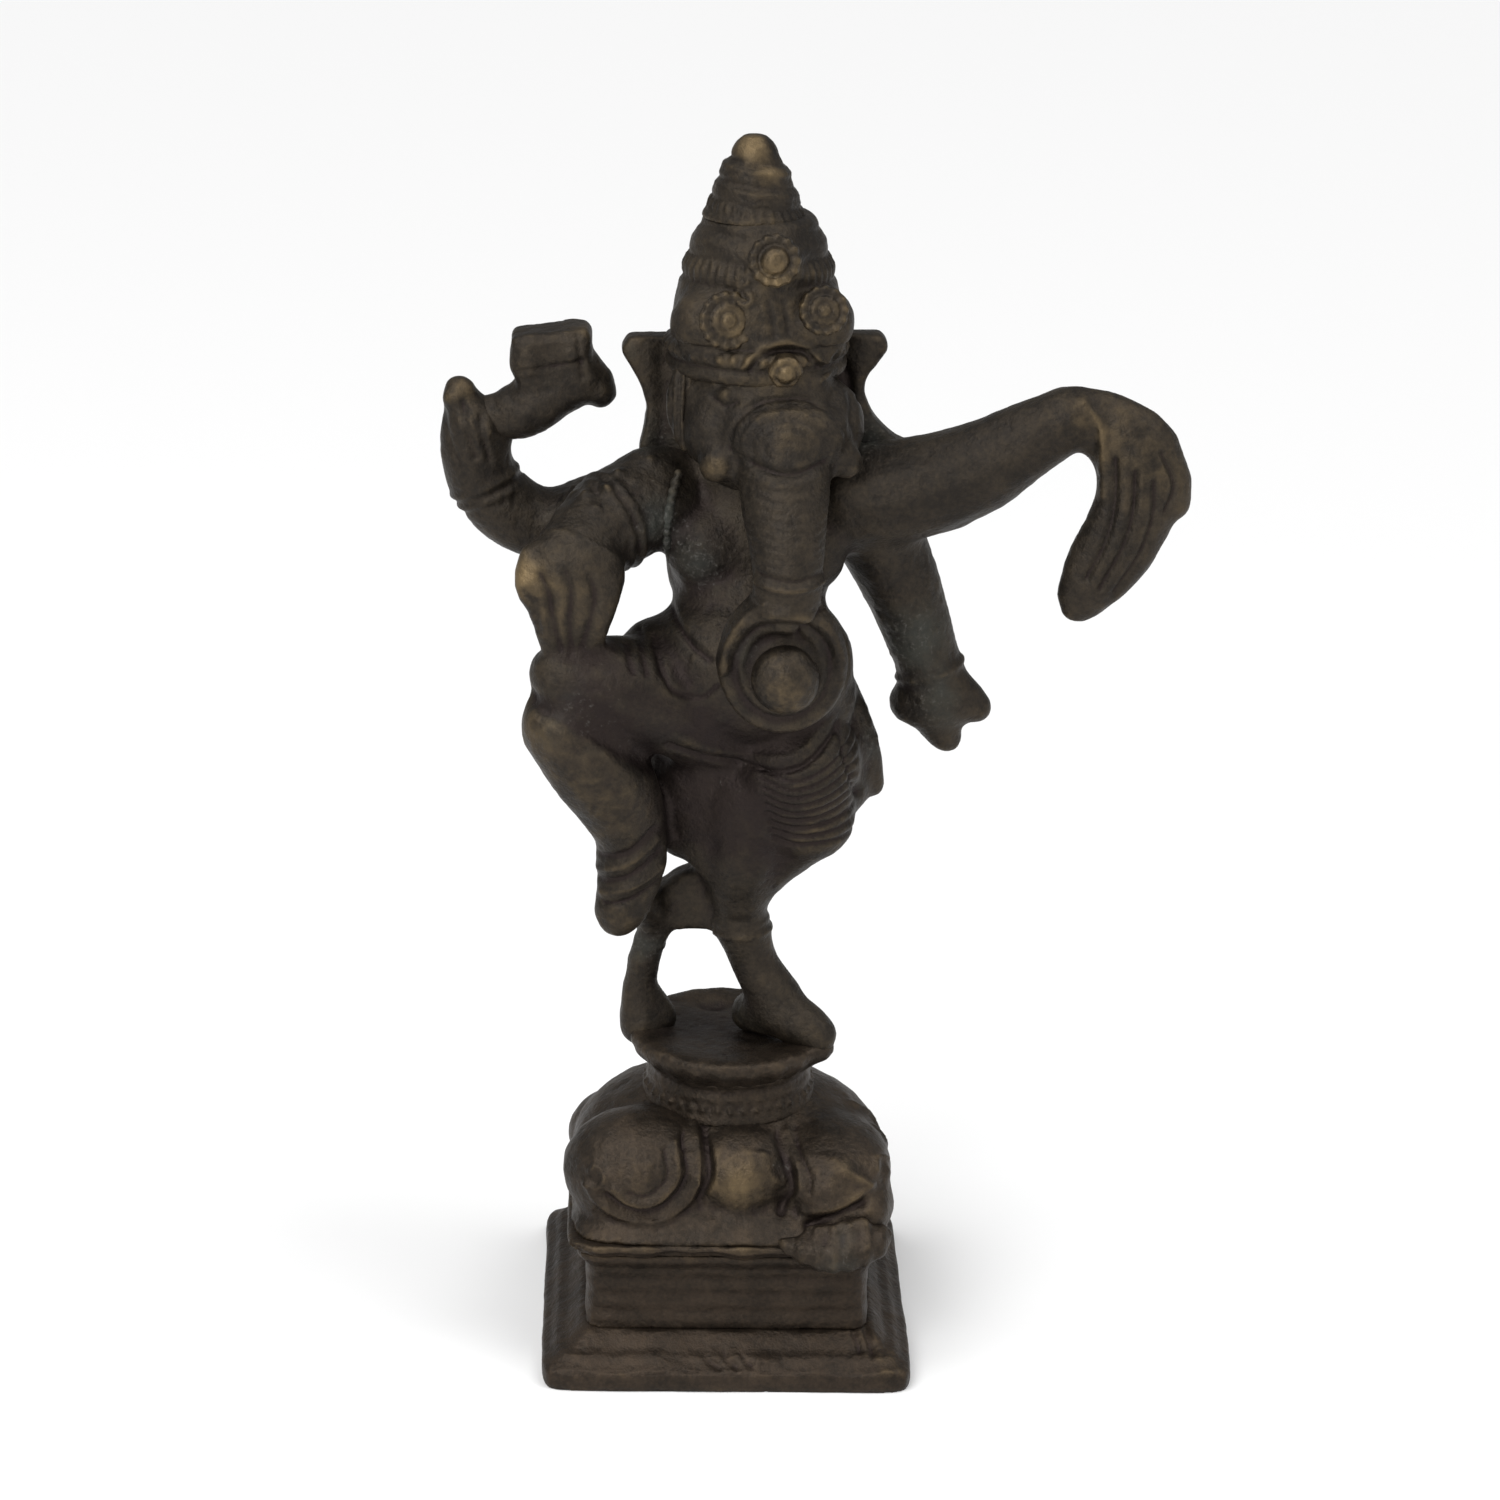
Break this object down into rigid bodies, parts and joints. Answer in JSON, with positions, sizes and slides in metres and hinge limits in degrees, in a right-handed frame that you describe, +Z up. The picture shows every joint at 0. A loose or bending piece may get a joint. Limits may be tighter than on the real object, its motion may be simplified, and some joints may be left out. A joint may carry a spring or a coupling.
{
  "type": "dancing elephant-headed deity statue",
  "caption": "Small solid cast brass figure of an elephant-headed dancer on one leg, on a crouching mouse and a stepped square pedestal, free-standing.",
  "frame": {"origin": "centre of the pedestal's flat square underside", "axes": "+Z up, towards the crown; -Y is the front, which the figure faces; +X is the viewer's right"},
  "size_m": [0.1035, 0.054, 0.1796],
  "materials": {
    "pedestal_brass": "aged dark cast brass, satin, rubbed lighter along its edges",
    "mount_brass": "aged dark cast brass with green-grey dust in its hollows",
    "figure_brass": "aged brown-black cast brass, satin, with green-grey dust in its hollows",
    "rubbed_brass": "cast brass rubbed golden by handling"
  },
  "bodies": {
    "root": {"axe_head": "figure_brass", "axe_shaft": "figure_brass", "base_slab": "pedestal_brass", "bead_strand": "figure_brass", "belly": "figure_brass", "belly_sash": "figure_brass", "brow_jewel": "rubbed_brass", "chest": "figure_brass", "cloth_tail": "figure_brass", "cloth_web": "figure_brass", "crown_band": "figure_brass", "crown_dome": "figure_brass", "crown_finial": "figure_brass", "crown_medallion_left": "rubbed_brass", "crown_medallion_right": "rubbed_brass", "crown_rosette": "rubbed_brass", "ear_left": "figure_brass", "ear_right": "figure_brass", "ear_tassel": "figure_brass", "front_left_fingers": "figure_brass", "front_left_forearm": "figure_brass", "front_left_palm": "figure_brass", "front_left_upper_arm": "figure_brass", "front_right_armlet": "figure_brass", "front_right_forearm": "figure_brass", "front_right_hand": "figure_brass", "front_right_upper_arm": "figure_brass", "hips": "figure_brass", "lotus_seat": "mount_brass", "mouse_body": "mount_brass", "mouse_haunch_far": "mount_brass", "mouse_haunch_near": "mount_brass", "mouse_head": "mount_brass", "mouse_paw": "mount_brass", "pedestal_neck": "pedestal_brass", "pedestal_top_slab": "pedestal_brass", "raised_cuff": "figure_brass", "raised_foot": "figure_brass", "raised_shin": "figure_brass", "raised_thigh": "figure_brass", "rear_left_arm": "figure_brass", "rear_left_fist": "figure_brass", "rear_right_bracelet": "figure_brass", "rear_right_forearm": "figure_brass", "rear_right_hand": "figure_brass", "rear_right_upper_arm": "figure_brass", "saddle_collar": "mount_brass", "sash_strut_lower": "figure_brass", "sash_strut_upper": "figure_brass", "skull": "figure_brass", "standing_anklet": "figure_brass", "standing_calf": "figure_brass", "standing_foot": "figure_brass", "standing_thigh": "figure_brass", "sweet": "rubbed_brass", "trunk_curl": "figure_brass", "trunk_root": "figure_brass", "trunk_upper": "figure_brass", "tusk_left": "rubbed_brass", "tusk_right": "rubbed_brass"}
  },
  "joints": []
}
